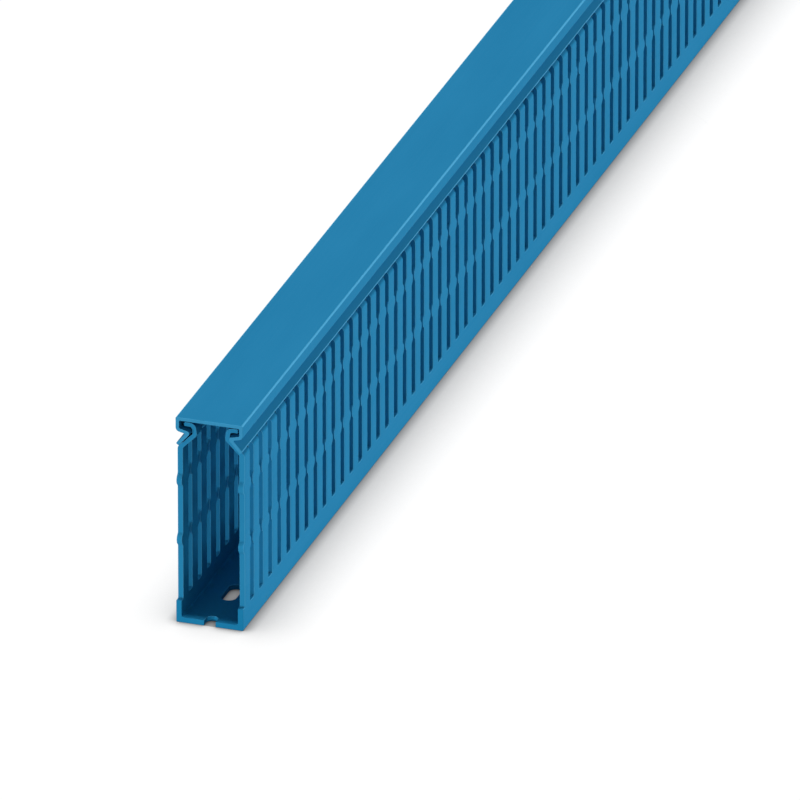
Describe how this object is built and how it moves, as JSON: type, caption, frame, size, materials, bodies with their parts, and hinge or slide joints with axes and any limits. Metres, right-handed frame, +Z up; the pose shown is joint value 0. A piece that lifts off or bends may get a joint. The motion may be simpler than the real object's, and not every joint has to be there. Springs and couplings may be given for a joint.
{
  "type": "wiring duct",
  "caption": "Tall narrow slotted wiring duct: a blue plastic trough with finger walls, retaining bumps and an oblong-holed floor, closed by a clip-on lid that slides along it.",
  "frame": {"origin": "middle of the underside, on the centre lines of length and width", "axes": "+X along the duct, +Y across it, +Z up from the floor to the lid; the pictured end is at -X"},
  "size_m": [1, 0.025, 0.08],
  "materials": {
    "trough_plastic": "satin extruded PVC, blue",
    "lid_plastic": "satin extruded PVC, blue"
  },
  "bodies": {
    "trough": {"slotted_trough": "trough_plastic"},
    "lid": {"clip_lid": "lid_plastic"}
  },
  "joints": [
    {"name": "lid_slide", "type": "slide", "parent": "trough", "child": "lid", "axis": [1, 0, 0], "range_m": [-0.95, 0.95]}
  ]
}
